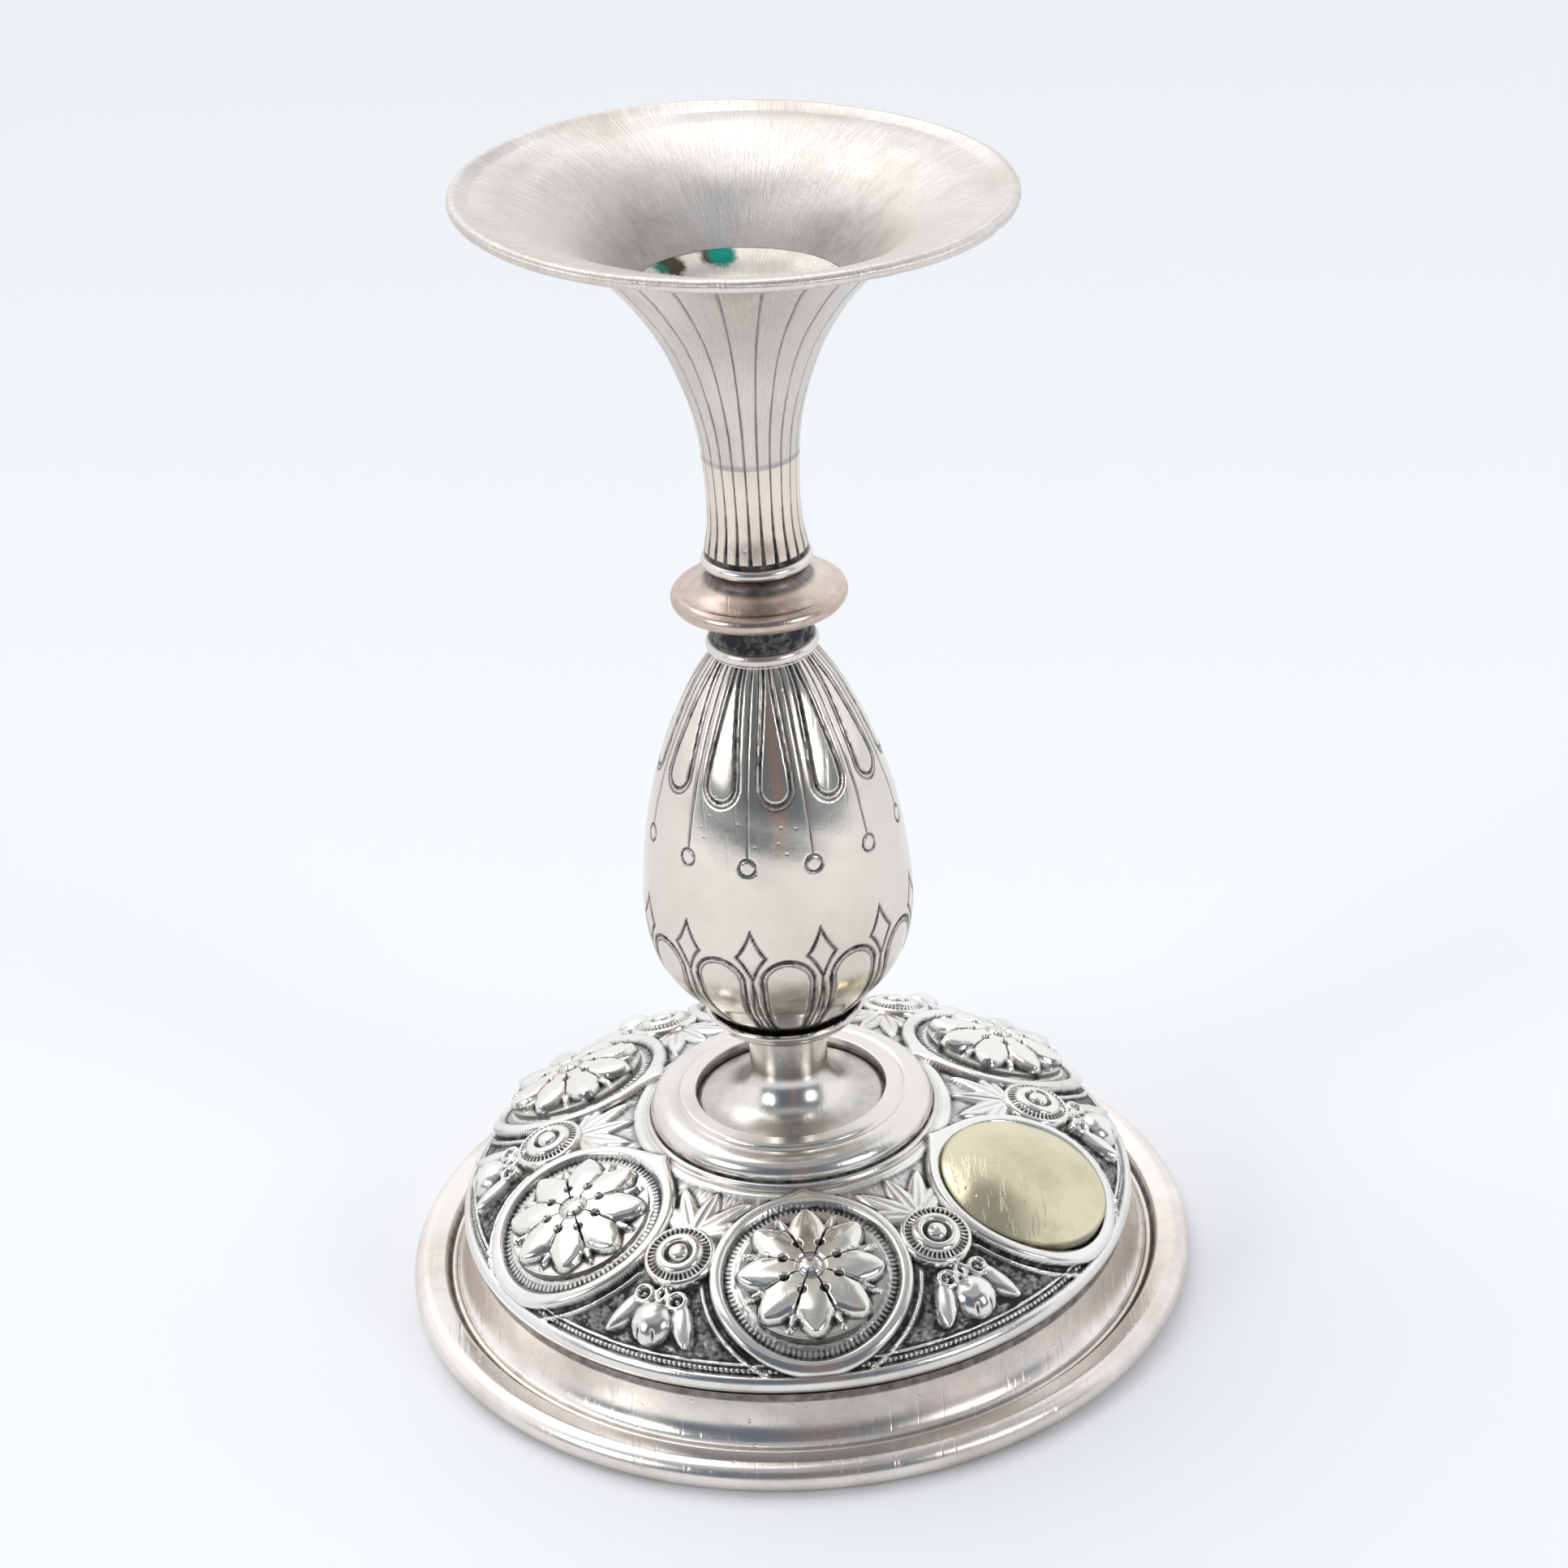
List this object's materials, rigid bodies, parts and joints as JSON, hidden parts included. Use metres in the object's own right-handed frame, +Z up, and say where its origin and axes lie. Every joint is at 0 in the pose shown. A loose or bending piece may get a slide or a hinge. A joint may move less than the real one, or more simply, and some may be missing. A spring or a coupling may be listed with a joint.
{
  "type": "altar candlestick",
  "caption": "Altar candlestick with a round chased dome foot, egg-shaped bulb stem, disc knop and fluted trumpet drip dish holding a lift-out candle socket.",
  "frame": {"origin": "centre of the foot ring's underside, on the surface it stands on", "axes": "+Z up along the stem; -Y faces the viewer, with the plain gilt plate to the right of the front rosette"},
  "size_m": [0.16, 0.16, 0.2308],
  "materials": {
    "silver_bright": "polished silver plate with light tarnish",
    "silver_satin": "worn satin silver plate with warm tarnish and fine scratches",
    "silver_chased": "chased silver plate, polished on the high points and oxidised in the recesses",
    "gilt": "pale worn gilding",
    "iron": "dull plain iron"
  },
  "bodies": {
    "candlestick": {"foot_ring": "silver_satin", "dome": "silver_chased", "gilt_plate": "gilt", "crown_ring": "silver_bright", "stem_foot": "silver_bright", "bulb_cup": "silver_bright", "bulb_lower": "silver_bright", "bulb_upper": "silver_bright", "spool": "silver_bright", "knop": "silver_bright", "neck_collar": "silver_bright", "neck_tube": "silver_satin", "trumpet_dish": "silver_satin", "throat_washer": "iron", "tie_rod": "iron", "clamp_cup": "iron", "rod_washer": "iron", "rod_nut": "iron", "rosette_1": "silver_chased", "rosette_2": "silver_chased", "rosette_3": "silver_chased", "rosette_4": "silver_chased", "rosette_5": "silver_chased", "stud_1": "silver_chased", "stud_2": "silver_chased", "stud_3": "silver_chased", "stud_4": "silver_chased", "stud_5": "silver_chased", "stud_6": "silver_chased"},
    "socket": {"candle_socket": "silver_bright"}
  },
  "joints": [
    {"name": "socket_lift", "type": "slide", "parent": "candlestick", "child": "socket", "axis": [0, 0, 1], "range_m": [0, 0.045]}
  ]
}
